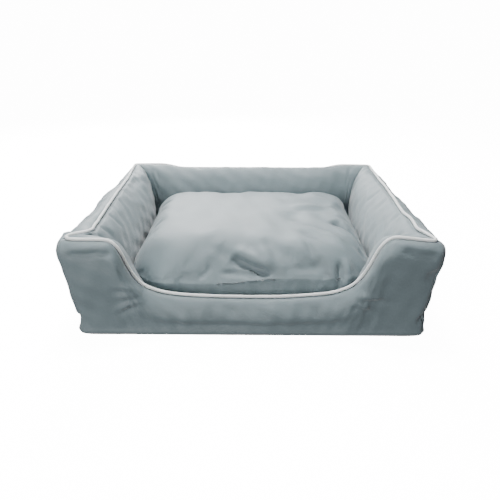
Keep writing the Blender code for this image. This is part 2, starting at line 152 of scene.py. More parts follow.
# How far inward the piped seam lies, by place along the wall.
LEFT_SEAM = [(-0.28, 0.008), (-0.25, 0.026), (-0.225, 0.041), (-0.13, 0.037), (0.02, 0.029),
             (0.13, 0.024), (0.21, 0.017), (0.28, 0.008)]
RIGHT_SEAM = [(-0.28, 0.010), (-0.245, 0.022), (-0.215, 0.030), (-0.165, 0.025), (-0.12, 0.030),
              (-0.03, 0.022), (0.09, 0.014), (0.20, 0.014), (0.28, 0.008)]


def section(kind, deep, rim):
    foot = BACK_FOOT if kind == "back" else FOOT
    points = foot + [(p * deep, z * rim) for p, z in SHAPE[kind]]
    return np.array(points + [(INNER_FOOT[kind], DECK + 0.0006)])


def rim_curve():
    """The front rim in x and z: level over the entry, an S up each post, then the post's top."""
    top = RIM - CORNER_DROP
    right = spline([(0.0, ENTRY_RIM - 0.005), (0.06, ENTRY_RIM - 0.004), (0.115, ENTRY_RIM),
                    (0.160, ENTRY_RIM + 0.006), (0.191, ENTRY_RIM + 0.018), (0.212, ENTRY_RIM + 0.041),
                    (0.225, ENTRY_RIM + 0.072), (0.236, ENTRY_RIM + 0.103), (0.250, top + 0.003),
                    (0.268, top + 0.008), (0.296, top + 0.002), (0.322, top - 0.003), (HALF_X, RIM)])
    left = spline([(0.0, ENTRY_RIM - 0.005), (0.068, ENTRY_RIM - 0.004), (0.141, ENTRY_RIM),
                   (0.183, ENTRY_RIM + 0.008), (0.209, ENTRY_RIM + 0.020), (0.225, ENTRY_RIM + 0.040),
                   (0.236, ENTRY_RIM + 0.068), (0.243, ENTRY_RIM + 0.092), (0.252, top - 0.010),
                   (0.268, top), (0.296, top + 0.001), (0.322, top), (HALF_X, RIM)])
    return left * (-1, 1), right


LEFT_RIM, RIGHT_RIM = rim_curve()


def front_columns(half, straight):
    """(x at the rim, x at the floor, corner share) from the left mitre to the right one."""
    def side(curve, sign):
        line = curve[np.abs(curve[:, 0]) <= straight]
        edge = [sign * straight, np.interp(straight, np.abs(curve[:, 0]), curve[:, 1])]
        line = np.vstack([line, edge])
        length = np.sum(np.linalg.norm(np.diff(line, axis=0), axis=1))
        line = resample(line, int(length / SPACING) + 1)
        place = np.abs(line[:, 0])
        share = np.linspace(0, 1, len(line))
        first = np.interp(FAN_START, place, share)
        last = np.interp(FAN_END, place, share)
        fan = np.clip((share - first) / (last - first), 0, 1)
        floor = np.where((share > first) & (share < last), mix(FAN_START, FAN_END, fan), place)
        return sign * np.stack([place, floor], 1)
    left = side(LEFT_RIM, -1)[::-1]
    right = side(RIGHT_RIM, 1)[1:]
    end = int(round((half - straight) / SPACING))
    first = [(-straight, -straight, 1 - i / end) for i in range(end)]
    middle = [(rim, floor, 0.0) for rim, floor in np.vstack([left, right])]
    return first + middle + [(straight, straight, i / end) for i in range(1, end)]


def wall_columns(half, straight):
    end = int(round((half - straight) / SPACING))
    middle = np.linspace(-straight, straight, int(round(2 * straight / SPACING)) + 1)
    return ([(-straight, -straight, 1 - i / end) for i in range(end)]
            + [(a, a, 0.0) for a in middle]
            + [(straight, straight, i / end) for i in range(1, end)])


def front_section(x, corner):
    curve = LEFT_RIM[::-1] if x < 0 else RIGHT_RIM
    rim = float(np.interp(x, curve[:, 0], curve[:, 1]))
    share = smooth((RIM - CORNER_DROP - rim) / (RIM - CORNER_DROP - ENTRY_RIM))
    rim = mix(rim, RIM, corner)
    shape = mix(section("post", POST_DEEP, rim), section("entry", ENTRY_DEEP, rim), share)
    return shape, mix(0.018, 0.028, share)


def wall_section(kind, deep, along, straight, corner):
    """An arm or the back, easing to the corner post's section near its ends."""
    ease = smooth((straight - abs(along)) / 0.06) * (1 - corner)
    rim = RIM - CORNER_DROP * smooth((straight - abs(along)) / 0.08) * (1 - corner)
    return mix(section("post", POST_DEEP, rim), section(kind, deep, rim), ease)


def cover_grid():
    """Points of the whole cover, columns by rows, and the columns that each wall takes."""
    room = POST_DEEP + MITRE_ROOM
    walls = (("front", 0, HALF_X, HALF_Y), ("right", 90, HALF_Y, HALF_X),
             ("back", 180, HALF_X, HALF_Y), ("left", 270, HALF_Y, HALF_X))
    grid, spans = [], {}
    for name, turn, half, out in walls:
        first = len(grid)
        spin = np.array(Matrix.Rotation(math.radians(turn), 3, "Z"))
        straight = half - room
        columns = front_columns(half, straight) if name == "front" else wall_columns(half, straight)
        for rim_at, floor_at, corner in columns:
            reach = rim_at + math.copysign(corner * room * 0.9, rim_at)
            if name == "front":
                shape, seam = front_section(rim_at, corner)
                seam = mix(seam, 0.010, corner)
            elif name == "back":
                shape = wall_section("back", BACK_DEEP, rim_at, straight, corner)
                seam = mix(0.012, 0.008, corner)
            else:
                table = np.array(RIGHT_SEAM if name == "right" else LEFT_SEAM)
                place = reach if name == "right" else -reach
                seam = float(np.interp(place, table[:, 0], table[:, 1]))
                shape = wall_section("arm", ARM_DEEP, rim_at, straight, corner)
            line = spline(shape)
            top = np.where((line[:, 0] >= seam) & (line[:, 1] > 0.8 * line[:, 1].max()))[0][0]
            rows = np.vstack([resample(line[:top + 1], OUT_ROWS + 1),
                              resample(line[top:], IN_ROWS + 1)[1:]])
            inward, height = rows[:, 0], rows[:, 1]
            lean = np.clip(height / height.max(), 0, 1) ** 1.3
            along = mix(floor_at, rim_at, lean)
            along = np.sign(rim_at + 1e-9) * mix(np.abs(along), half - inward, corner)
            grid.append(np.stack([along, inward - out, height], 1) @ spin.T)
        spans[name] = (first, len(grid))
    return np.array(grid), spans


def round_corners(grid, spans):
    """Rounds the upright corners by averaging along the rows, most at half height."""
    count, rows = grid.shape[:2]
    row = np.arange(rows)
    up = row / OUT_ROWS
    down = (row - OUT_ROWS) / IN_ROWS
    outside = 2 + 30 * np.sin(np.pi * np.clip(0.24 + 0.76 * up, 0, 1))
    front_inside = mix(3.0, 50.0, smooth(down * 3))
    back_inside = np.full(rows, 2.0)
    for wall, front in (("front", True), ("right", True), ("back", False), ("left", False)):
        corner = spans[wall][0]
        inside = front_inside if front else back_inside
        passes = np.where(row <= OUT_ROWS, outside, inside)
        away = np.abs((np.arange(count) - corner + count // 2) % count - count // 2)
        near = away <= 22
        fade = np.clip((22 - away[near]) / 10, 0, 1)[:, None]
        for k in range(int(passes.max())):
            share = np.clip(passes - k, 0, 1)[None, :] * fade
            even = 0.25 * (np.roll(grid, 1, 0) + np.roll(grid, -1, 0)) + 0.5 * grid
            grid[near] = mix(grid[near], even[near], share[:, :, None])
    return grid


def grid_normals(grid, closed=True):
    if closed:
        across = np.roll(grid, -1, 0) - np.roll(grid, 1, 0)
    else:
        across = np.gradient(grid, axis=0)
    normal = np.cross(across, np.gradient(grid, axis=1))
    return normal / np.maximum(np.linalg.norm(normal, axis=2, keepdims=True), 1e-9)


# ---------------------------------------------------------------- sculpting

def near_line(points, line):
    """For each point: distance to a line, place along it (0 to 1), offset from it and its heading."""
    line = np.asarray(line, float)
    steps = np.diff(line, axis=0)
    length = np.linalg.norm(steps, axis=1)
    run = np.concatenate([[0], np.cumsum(length)]) / length.sum()
    best = np.full(points.shape[:-1], 1e9)
    place = np.zeros_like(best)
    offset = np.zeros_like(points)
    heading = np.zeros_like(points)
    for start, step, size, a, b in zip(line, steps, length, run, run[1:]):
        t = np.clip(((points - start) @ step) / size ** 2, 0, 1)
        gap = points - (start + t[..., None] * step)
        far = np.linalg.norm(gap, axis=-1)
        closer = far < best
        best = np.where(closer, far, best)
        place = np.where(closer, mix(a, b, t), place)
        offset = np.where(closer[..., None], gap, offset)
        heading = np.where(closer[..., None], step / size, heading)
    return best, place, offset, heading


def taper(place, start, end):
    """1 along the middle of a stroke, fading over the given shares at its ends."""
    rise = smooth(place / start) if start else 1.0
    return rise * (smooth((1 - place) / end) if end else 1.0)


def settle(grid, line):
    """A smooth line through the cloth's own points that lie nearest to the given ones."""
    line = spline(line) if len(line) > 2 else resample(np.array(line, float), 16)
    cloth = grid.reshape(-1, 3)
    line = np.array([cloth[np.argmin(np.sum((cloth - point) ** 2, axis=1))] for point in line[::3]])
    for _ in range(2):
        line[1:-1] = 0.5 * line[1:-1] + 0.25 * (line[2:] + line[:-2])
    return line[np.concatenate([[True], np.linalg.norm(np.diff(line, axis=0), axis=1) > 1e-6])]


def dent(grid, line, width, depth, start=0.35, end=0.35, closed=True):
    """Presses a rounded valley along a line; a negative depth raises a ridge."""
    line = settle(grid, line)
    far, place, _, _ = near_line(grid, line)
    press = depth * np.exp(-(far / width) ** 2) * taper(place, start, end)
    return grid - grid_normals(grid, closed) * press[..., None]


def pleat(grid, line, width, depth, start=0.35, end=0.35, closed=True):
    """A fold along a line: a ridge on its left, seen from outside, and a valley on its right."""
    line = settle(grid, line)
    far, place, offset, heading = near_line(grid, line)
    normal = grid_normals(grid, closed)
    side = np.sum(np.cross(normal, heading) * offset, axis=-1) / width
    beyond = np.maximum(far / width - np.abs(side), 0)
    lift = depth * side * np.exp(0.5 - 0.5 * side ** 2 - beyond ** 2)
    return grid + normal * (lift * taper(place, start, end))[..., None]


def drag(grid, at, move, radius):
    """Pulls the cloth round a place sideways, as a hand would."""
    far = np.linalg.norm(grid - np.asarray(at, float), axis=-1)
    return grid + np.exp(-(far / radius) ** 2)[..., None] * np.asarray(move, float)


def seam_distance(grid):
    """Distance along each column from the rim seam, and distance round the bed at the rim."""
    step = np.linalg.norm(np.diff(grid, axis=1), axis=2)
    run = np.concatenate([np.zeros((len(grid), 1)), np.cumsum(step, axis=1)], axis=1)
    rim = grid[:, OUT_ROWS]
    round_bed = np.concatenate([[0], np.cumsum(np.linalg.norm(np.diff(rim, axis=0), axis=1))])
    return np.abs(run - run[:, OUT_ROWS:OUT_ROWS + 1]), round_bed[:, None]


def sew_rim(grid):
    """Draws the cloth in along the rim seam and puckers it there."""
    normal = grid_normals(grid)
    away, along = seam_distance(grid)
    inner = np.arange(grid.shape[1])[None, :] > OUT_ROWS
    groove = 0.0030 * np.exp(-(away / 0.0055) ** 2) + inner * 0.0016 * np.exp(-(away / 0.004 - 1) ** 2)
    strength = np.clip(0.5 + waves(along, 0 * along, 5, 0.16), 0, 1.2)
    ripple = waves(along + 0.25 * away, 0 * away, 11, 0.024)
    pucker = np.where(inner, 0.0014, 0.0008) * ripple * strength
    pucker = pucker * np.exp(-away / 0.020) * (1 - np.exp(-(away / 0.004) ** 2))
    return grid + normal * (pucker - groove)[..., None]


def slacken(grid):
    """The gentle unevenness of a stuffed wall."""
    normal = grid_normals(grid)
    away, along = seam_distance(grid)
    outer = np.arange(grid.shape[1])[None, :] <= OUT_ROWS
    across = np.where(outer, away, -away)
    uneven = 0.0020 * waves(along, across, 21, 0.13) + 0.0010 * waves(along, across, 22, 0.05)
    hold = smooth(away / 0.03) * smooth(grid[..., 2] / 0.03)
    return grid + normal * (uneven * hold)[..., None]


def crease_back_corners(grid, spans):
    """Draws the lining into the two sewn corners at the back."""
    rows = np.arange(grid.shape[1])
    depth = 0.009 * smooth((rows - OUT_ROWS) / 10) * smooth((grid.shape[1] - rows) / 12)
    for wall, side in (("back", 1), ("left", -1)):
        seam = grid[spans[wall][0]][None]
        far = np.linalg.norm(grid - seam, axis=2)
        pull = depth * np.exp(-far / 0.010)
        grid = grid + pull[..., None] * np.array([side * 0.7, 0.7, 0.0])
    return grid


def sew_corners(grid, spans):
    """Draws the cloth in along the four upright seams, outside."""
    rows = np.arange(OUT_ROWS + 1)
    depth = 0.0022 * smooth(rows / 4) * smooth((OUT_ROWS - rows) / 6)
    normal = grid_normals(grid)
    for wall in spans:
        seam = spans[wall][0]
        for step, share in ((0, 1.0), (-1, 0.25), (1, 0.25)):
            column = (seam + step) % len(grid)
            grid[column, rows] -= normal[column, rows] * (depth * share)[:, None]
    return grid


def make_room(points, node, gap=0.0006, slope=0.7):
    """Presses cloth at the back in where a zip lies on it, leaning as the zip leans."""
    low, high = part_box(node)
    beyond = np.zeros(points.shape[:-1])
    for axis in (0, 2):
        past = np.maximum(low[axis] - points[..., axis], points[..., axis] - high[axis])
        beyond = np.maximum(beyond, past)
    up = np.clip((points[..., 2] - low.z) / (high.z - low.z), 0, 1)
    limit = mix(low.y, high.y - ZIP_TAPE, up) - gap + slope * beyond
    behind = points[..., 1] > low.y - 0.03
    points[..., 1] = np.where(behind, np.minimum(points[..., 1], limit), points[..., 1])
    return points


def shape_cover(grid, spans):
    for at, move, radius in DRAGS:
        grid = drag(grid, at, move, radius)
    grid = crease_back_corners(sew_rim(slacken(grid)), spans)
    for line, width, depth, start, end in DENTS:
        grid = dent(grid, line, width, depth, start, end)
    for line, width, depth, start, end in PLEATS:
        grid = pleat(grid, line, width, depth, start, end)
    grid = make_room(sew_corners(grid, spans), "ring_zip_tape")
    grid[..., 2] = np.maximum(grid[..., 2], 0.0004)
    return grid


F = -HALF_Y             # the front face's plane
# (place, pull, radius) of the corners' loose cloth
DRAGS = [
    ((-0.322, -0.232, 0.207), (0.016, -0.006, 0.002), 0.015),
    ((-0.338, -0.250, 0.209), (-0.012, 0.010, 0), 0.012),
    ((-0.344, -0.272, 0.209), (-0.007, 0.000, 0.002), 0.014),
    ((0.344, -0.270, 0.207), (0.006, 0.002, 0.000), 0.014),
]
# (line, width, depth, fade at start, fade at end)
DENTS = [
    # the crease under the rolled lip of each front post, and the roll above it
    ([(-0.332, F, 0.186), (-0.305, F, 0.184), (-0.28, F, 0.187), (-0.262, F, 0.183),
      (-0.246, F, 0.190)], 0.0055, 0.0060, 0.12, 0.2),
    ([(0.262, F, 0.196), (0.285, F, 0.193), (0.311, F, 0.189), (0.334, F, 0.182)],
     0.0055, 0.0045, 0.3, 0.12),
    ([(-0.332, F, 0.199), (-0.29, F, 0.199), (-0.25, F, 0.200)], 0.008, -0.0035, 0.15, 0.2),
    ([(0.262, F, 0.206), (0.30, F, 0.202), (0.334, F, 0.196)], 0.008, -0.003, 0.2, 0.15),
    # the tucks where the base corners are sewn in
    ([(0.350, F, 0.047), (0.335, F, 0.046), (0.32, F, 0.044)], 0.007, 0.009, 0.0, 0.5),
    ([(0.350, F, 0.047), (0.350, F + 0.03, 0.045)], 0.007, 0.007, 0.0, 0.5),
    ([(-0.350, F, 0.033), (-0.338, F, 0.031)], 0.006, 0.007, 0.0, 0.5),
    ([(-0.350, F, 0.033), (-0.350, F + 0.03, 0.035)], 0.006, 0.006, 0.0, 0.5),
    # a hollow on the right post
    ([(0.334, F, 0.165), (0.335, F, 0.12)], 0.016, 0.006, 0.4, 0.4),
    # creases that run down from the rim seam inside the arms, and two outside the right one
    ([(-0.321, 0.147, 0.206), (-0.305, 0.142, 0.204), (-0.288, 0.134, 0.196)], 0.0040, 0.0030, 0.1, 0.5),
    ([(-0.326, 0.183, 0.208), (-0.305, 0.164, 0.206)], 0.0040, 0.0028, 0.1, 0.5),
    ([(-0.318, 0.040, 0.206), (-0.300, 0.030, 0.202), (-0.280, 0.018, 0.190)], 0.0055, 0.0022, 0.1, 0.5),
    ([(-0.313, -0.021, 0.205), (-0.292, -0.030, 0.197), (-0.274, -0.045, 0.170)], 0.0050, 0.0032, 0.1, 0.5),
    ([(-0.312, -0.070, 0.205), (-0.294, -0.076, 0.198), (-0.280, -0.088, 0.182)], 0.0045, 0.0026, 0.1, 0.5),
    ([(-0.308, -0.116, 0.203), (-0.284, -0.113, 0.187), (-0.270, -0.108, 0.155)], 0.0050, 0.0032, 0.1, 0.5),
    ([(-0.306, -0.184, 0.202), (-0.285, -0.174, 0.186), (-0.273, -0.165, 0.160)], 0.0055, 0.0034, 0.1, 0.5),
    ([(-0.300, -0.215, 0.200), (-0.282, -0.212, 0.188), (-0.268, -0.205, 0.165)], 0.0050, 0.0030, 0.1, 0.5),
    ([(0.316, 0.042, 0.204), (0.296, 0.047, 0.195), (0.276, 0.051, 0.172)], 0.0050, 0.0030, 0.1, 0.5),
    ([(0.318, -0.116, 0.204), (0.300, -0.121, 0.199), (0.285, -0.126, 0.185)], 0.0050, 0.0032, 0.1, 0.5),
    ([(0.316, -0.020, 0.204), (0.298, -0.024, 0.197), (0.283, -0.030, 0.183)], 0.0050, 0.0022, 0.1, 0.5),
    ([(0.330, -0.100, 0.203), (0.346, -0.112, 0.190)], 0.0045, 0.0028, 0.1, 0.5),
    ([(0.330, -0.160, 0.203), (0.345, -0.172, 0.192)], 0.0045, 0.0028, 0.1, 0.5),
    ([(0.338, 0.150, 0.203), (0.350, 0.140, 0.188)], 0.0045, 0.0022, 0.1, 0.5),
]
# (line, width, depth, fade at start, fade at end)
PLEATS = [
    # folds that fan out below the entry's S, left then right
    ([(-0.212, F, 0.098), (-0.240, F, 0.112), (-0.275, F, 0.118)], 0.0055, -0.0030, 0.3, 0.6),
    ([(-0.208, F, 0.092), (-0.235, F, 0.094), (-0.272, F, 0.086)], 0.0055, -0.0034, 0.3, 0.6),
    ([(-0.206, F, 0.084), (-0.238, F, 0.070), (-0.272, F, 0.050)], 0.0052, -0.0036, 0.3, 0.5),
    ([(0.192, F, 0.090), (0.230, F, 0.093), (0.280, F, 0.084)], 0.0055, 0.0036, 0.3, 0.6),
    ([(0.190, F, 0.082), (0.220, F, 0.070), (0.248, F, 0.056)], 0.0052, 0.0034, 0.3, 0.6),
]


# ---------------------------------------------------------------- materials

class Cloth:
    """One material's nodes, with short helpers to wire them."""

    def __init__(self, name, rough, sheen=0.0, metallic=0.0):
        self.material = bpy.data.materials.new(name)
        self.material.use_nodes = True
        self.tree = self.material.node_tree
        self.shader = self.tree.nodes["Principled BSDF"]
        self.shader.inputs["Roughness"].default_value = rough
        self.shader.inputs["Metallic"].default_value = metallic
        self.shader.inputs["Sheen Weight"].default_value = sheen
        self.shader.inputs["Sheen Roughness"].default_value = 0.45
        self.place = self.tree.nodes.new("ShaderNodeTexCoord").outputs["Object"]

    def add(self, kind, inputs, **settings):
        """A new node's first output; inputs are sockets or plain values, by name or number."""
        node = self.tree.nodes.new(kind)
        for key, value in settings.items():
            setattr(node, key, value)
        for key, value in inputs.items():
            if isinstance(value, bpy.types.NodeSocket):
                self.tree.links.new(value, node.inputs[key])
            else:
                node.inputs[key].default_value = value
        return node.outputs[0]

    def noise(self, scale, detail=3.0):
        return self.add("ShaderNodeTexNoise", {"Vector": self.place, "Scale": scale, "Detail": detail})

    def tint(self, factor, dark, light):
        ramp = self.tree.nodes.new("ShaderNodeValToRGB")
        for stop, at, colour in zip(ramp.color_ramp.elements, (0.3, 0.7), (dark, light)):
            stop.position = at
            stop.color = (*colour, 1)
        self.tree.links.new(factor, ramp.inputs[0])
        return ramp.outputs[0]

    def bump(self, height, distance, strength, under=None):
        inputs = {"Height": height, "Distance": distance, "Strength": strength}
        if under is not None:
            inputs["Normal"] = under
        return self.add("ShaderNodeBump", inputs)

    def weave(self, pitch):
        """Threads crossing along all three axes, so every face shows a plain weave."""
        total = None
        for axis in "XYZ":
            wave = self.add("ShaderNodeTexWave", {"Vector": self.place, "Scale": 0.314 / pitch,
                                                  "Distortion": 0.4}, bands_direction=axis)
            wave = wave.node.outputs["Fac"]
            total = wave if total is None else self.add("ShaderNodeMath", {0: total, 1: wave})
        return total

    def link(self, output, socket):
        self.tree.links.new(output, self.shader.inputs[socket])


def times(colour, factor):
    return tuple(c * factor for c in colour)


def fabric(name, colour, pitch=0.0011, rough=0.62, sheen=0.2, spread=0.05, relief=0.00012):
    """Closely woven cloth: threads, slight mottling and an uneven gloss."""
    cloth = Cloth(name, rough, sheen)
    cloth.link(cloth.tint(cloth.noise(7.0, 4.0), times(colour, 1 - spread), times(colour, 1 + spread)),
               "Base Color")
    cloth.link(cloth.add("ShaderNodeMapRange", {"Value": cloth.noise(60.0), "To Min": rough - 0.06,
                                                "To Max": rough + 0.06}), "Roughness")
    soft = cloth.bump(cloth.noise(38.0, 5.0), 0.0006, 0.5)
    cloth.link(cloth.bump(cloth.weave(pitch), relief, 0.7, soft), "Normal")
    return cloth.material


def non_slip(name, colour, dot, pitch):
    """Base cloth with a grid of raised rubber dots."""
    cloth = Cloth(name, 0.75, 0.1)
    apart = cloth.add("ShaderNodeTexVoronoi", {"Vector": cloth.place, "Scale": 1 / pitch, "Randomness": 0.0},
                      voronoi_dimensions="2D")
    spots = cloth.add("ShaderNodeMapRange", {"Value": apart, "From Min": 0.24, "From Max": 0.32,
                                             "To Min": 1.0, "To Max": 0.0})
    cloth.link(cloth.tint(spots, colour, dot), "Base Color")
    cloth.link(cloth.add("ShaderNodeMapRange", {"Value": spots, "To Min": 0.8, "To Max": 0.45}), "Roughness")
    woven = cloth.bump(cloth.weave(0.0012), 0.0001, 0.6)
    cloth.link(cloth.bump(spots, 0.0005, 0.9, woven), "Normal")
    return cloth.material


def felted(name, colour):
    """Bonded padding: soft, matt fibres."""
    cloth = Cloth(name, 0.95, 0.3)
    cloth.link(cloth.tint(cloth.noise(90.0, 6.0), times(colour, 0.85), times(colour, 1.08)), "Base Color")
    cloth.link(cloth.bump(cloth.noise(420.0, 6.0), 0.0004, 0.8), "Normal")
    return cloth.material


def hard(name, colour, rough, metallic=0.0):
    """Moulded nylon or plated metal, finely worn."""
    made = Cloth(name, rough, metallic=metallic)
    made.link(made.tint(made.noise(160.0, 4.0), times(colour, 0.85), times(colour, 1.1)), "Base Color")
    made.link(made.add("ShaderNodeMapRange", {"Value": made.noise(420.0), "To Min": rough - 0.08,
                                              "To Max": rough + 0.12}), "Roughness")
    made.link(made.bump(made.noise(900.0), 0.00006, 0.4), "Normal")
    return made.material


def dress(node, material):
    """Gives a CAD node that stays in view its material."""
    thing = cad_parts[node]
    thing.data.materials.clear()
    thing.data.materials.append(material)


# ---------------------------------------------------------------- camera and light

def mesh_object(name, mesh, material, shade=True):
    if shade:
        mesh.shade_smooth()
    made = bpy.data.objects.new(name, mesh)
    mesh.materials.append(material)
    bpy.context.scene.collection.objects.link(made)
    return made


def look():
    """A level studio view from the front, above the entry."""
    pitch, yaw, roll = (math.radians(a) for a in (25.47, -0.26, 0.24))
    forward = Vector((math.sin(yaw) * math.cos(pitch), math.cos(yaw) * math.cos(pitch),
                      -math.sin(pitch)))
    right = Vector((math.cos(yaw), -math.sin(yaw), 0))
    up = right.cross(forward)
    turned = right * math.cos(roll) + up * math.sin(roll)
    upright = -right * math.sin(roll) + up * math.cos(roll)
    data = bpy.data.cameras.new("camera")
    data.lens = 31.77
    camera = bpy.data.objects.new("camera", data)
    bpy.context.scene.collection.objects.link(camera)
    basis = Matrix((turned, upright, -forward)).transposed().to_4x4()
    camera.matrix_world = Matrix.Translation((0.001, -0.998, 0.537)) @ basis
    bpy.context.scene.camera = camera


def area_light(name, place, aim, size, power):
    data = bpy.data.lights.new(name, "AREA")
    data.shape = "RECTANGLE"
    data.size, data.size_y = size
    data.energy = power
    lamp = bpy.data.objects.new(name, data)
    bpy.context.scene.collection.objects.link(lamp)
    lamp.location = place
    lamp.rotation_euler = (Vector(aim) - Vector(place)).to_track_quat("-Z", "Y").to_euler()


SKY = 0.16              # strength of the soft dome
# (name, place, size, power) of each softbox, all turned to the bed
SOFTBOXES = [
    ("key", (-0.05, 0.10, 1.90), 0.4, 52),
    ("back", (-0.50, 1.85, 1.25), 1.4, 88),
    ("front", (-1.20, -2.30, 0.85), 1.2, 58),
]


STAGE, COVE = 3.0, 1.5  # radius of the round floor and of the cove that it rises in


def studio():
    world = bpy.data.worlds.new("studio")
    world.use_nodes = True
    nodes, links = world.node_tree.nodes, world.node_tree.links
    background = nodes["Background"]
    background.inputs["Strength"].default_value = SKY
    height = nodes.new("ShaderNodeSeparateXYZ")
    links.new(nodes.new("ShaderNodeTexCoord").outputs["Generated"], height.inputs[0])
    ramp = nodes.new("ShaderNodeValToRGB")
    ramp.color_ramp.elements[0].position = 0.0
    ramp.color_ramp.elements[0].color = (0.42, 0.44, 0.46, 1)
    ramp.color_ramp.elements[1].position = 0.75
    ramp.color_ramp.elements[1].color = (0.96, 0.98, 1.0, 1)
    links.new(height.outputs["Z"], ramp.inputs[0])
    links.new(ramp.outputs[0], background.inputs["Color"])
    bpy.context.scene.world = world
    for name, place, size, power in SOFTBOXES:
        area_light(name, place, (0, 0, 0.1), (size, size), power)
    mesh = bpy.data.meshes.new("floor")
    bm = bmesh.new()
    cove = [(0.0, 0.0)] + [(STAGE + COVE * math.sin(a), COVE - COVE * math.cos(a))
                           for a in np.linspace(0, math.pi / 2, 12)] + [(STAGE + COVE, 7.0)]
    profile = [bm.verts.new((r, 0, z)) for r, z in cove]
    edges = [bm.edges.new(pair) for pair in zip(profile, profile[1:])]
    bmesh.ops.spin(bm, geom=profile + edges, cent=(0, 0, 0), axis=(0, 0, 1), angle=math.tau,
                   steps=64, use_merge=True)
    bm.to_mesh(mesh)
    bm.free()
    white = bpy.data.materials.new("floor_white")
    white.use_nodes = True
    shader = white.node_tree.nodes["Principled BSDF"]
    shader.inputs["Base Color"].default_value = (0.95, 0.95, 0.95, 1)
    shader.inputs["Roughness"].default_value = 0.9
    shader.inputs["Emission Color"].default_value = (1, 1, 1, 1)
    shader.inputs["Emission Strength"].default_value = 14.0
    floor = mesh_object("floor", mesh, white)
    floor.visible_diffuse = False
    floor.visible_glossy = False
    floor.visible_shadow = False


# ---------------------------------------------------------------- cover panels

def panel_mesh(name, grid, columns, rows):
    """One panel of the cover, cut from the grid."""
    points = grid[np.ix_(columns % len(grid), rows)]
    c, r = points.shape[:2]
    a, b = np.meshgrid(np.arange(c - 1), np.arange(r - 1), indexing="ij")
    quads = np.stack([a * r + b, (a + 1) * r + b, (a + 1) * r + b + 1, a * r + b + 1], -1)
    mesh = bpy.data.meshes.new(name)
    mesh.from_pydata(points.reshape(-1, 3).tolist(), [], quads.reshape(-1, 4).tolist())
    return mesh


def add_panel(name, grid, columns, rows, cloth, *nodes):
    piece = mesh_object(name, panel_mesh(name, grid, columns, rows), cloth)
    solid = piece.modifiers.new("cloth", "SOLIDIFY")
    solid.thickness = CLOTH
    solid.offset = -1
    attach(piece, "bed")
    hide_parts(*nodes)


def add_cover(grid, spans, cloth):
    count = len(grid)
    outside = np.arange(OUT_ROWS + 1)
    inside = np.arange(OUT_ROWS, OUT_ROWS + IN_ROWS + 1)
    start = {wall: spans[wall][0] for wall in spans}
    for wall, after in (("front", "right"), ("right", "back"), ("back", "left"), ("left", "front")):
        last = start[after] + (count if start[after] < start[wall] else 0)
        columns = np.arange(start[wall], last + 1)
        add_panel(f"{wall}_cover", grid, columns, outside, cloth, f"{wall}_outer_panel", f"{wall}_fill")
        if wall == "back":
            add_panel("back_lining", grid, columns, inside, cloth, "back_inner_panel")
    columns = np.arange(start["left"], count + start["back"] + 1)
    add_panel("arms_lining", grid, columns, inside, cloth,
              "left_inner_panel", "front_inner_panel", "right_inner_panel")


def thread_object(name, lines, radius, material, closed=False, resolution=4):
    """Round threads along lines of points."""
    curve = bpy.data.curves.new(name, "CURVE")
    curve.dimensions = "3D"
    curve.bevel_depth = radius
    curve.bevel_resolution = resolution
    for line in lines:
        thread = curve.splines.new("POLY")
        thread.points.add(len(line) - 1)
        thread.points.foreach_set("co", np.hstack([line, np.ones((len(line), 1))]).ravel())
        thread.use_cyclic_u = closed
        thread.use_smooth = True
    made = bpy.data.objects.new(name, curve)
    curve.materials.append(material)
    bpy.context.scene.collection.objects.link(made)
    return made


def add_piping(grid, material):
    """The cord in the rim seam, standing a little proud of the cloth."""
    rim = grid[:, OUT_ROWS]
    normal = grid_normals(grid)[:, OUT_ROWS - 3:OUT_ROWS + 4].mean(1)
    normal /= np.linalg.norm(normal, axis=1, keepdims=True)
    line = rim + normal * (PIPING_RADIUS * 0.55 + 0.0016)
    for _ in range(3):
        line = 0.5 * line + 0.25 * (np.roll(line, 1, 0) + np.roll(line, -1, 0))
    cord = thread_object("rim_cord", [line], PIPING_RADIUS, material, closed=True)
    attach(cord, "bed")
    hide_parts("rim_piping")


def add_coils(cover, body, material):
    """The two nylon coils of a closed zip, wound along its tape."""
    low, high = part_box(f"{cover}_zip_chain")
    tape_low, tape_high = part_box(f"{cover}_zip_tape")
    lean = math.atan2(tape_high.y - ZIP_TAPE - tape_low.y, tape_high.z - tape_low.z)
    up = np.array([0.0, math.sin(lean), math.cos(lean)])
    out = np.array([0.0, math.cos(lean), -math.sin(lean)])
    middle = np.array([0.0, (low.y + high.y) / 2, (low.z + high.z) / 2])
    turns = (high.x - low.x) / COIL_PITCH
    angle = np.linspace(0, turns * math.tau, int(turns * 10))[:, None]
    along = np.array([1.0, 0, 0]) * (low.x + angle * COIL_PITCH / math.tau)
    coils = [middle + along + up * (side * 0.00120 + 0.00115 * np.cos(angle + side))
             + out * 0.00055 * np.sin(angle + side) for side in (-1, 1)]
    coil = thread_object(f"{cover}_zip_coils", coils, 0.00042, material, resolution=1)
    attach(coil, body)
    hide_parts(f"{cover}_zip_chain")


def add_deck(cloth):
    """The floor of the well: lining laid over the pad, a little slack."""
    low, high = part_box("deck_panel")
    x, y = np.meshgrid(np.linspace(low.x, high.x, 110), np.linspace(low.y, high.y, 88), indexing="ij")
    z = high.z - 0.0004 + 0.0004 * waves(x, y, 41, 0.09)
    mesh = panel_mesh("deck_cloth", np.stack([x, y, z], -1), np.arange(110), np.arange(88))
    piece = mesh_object("deck_cloth", mesh, cloth)
    solid = piece.modifiers.new("cloth", "SOLIDIFY")
    solid.thickness = 0.0008
    solid.offset = -1
    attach(piece, "bed")
    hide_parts("deck_panel")


# ---------------------------------------------------------------- seat cushion

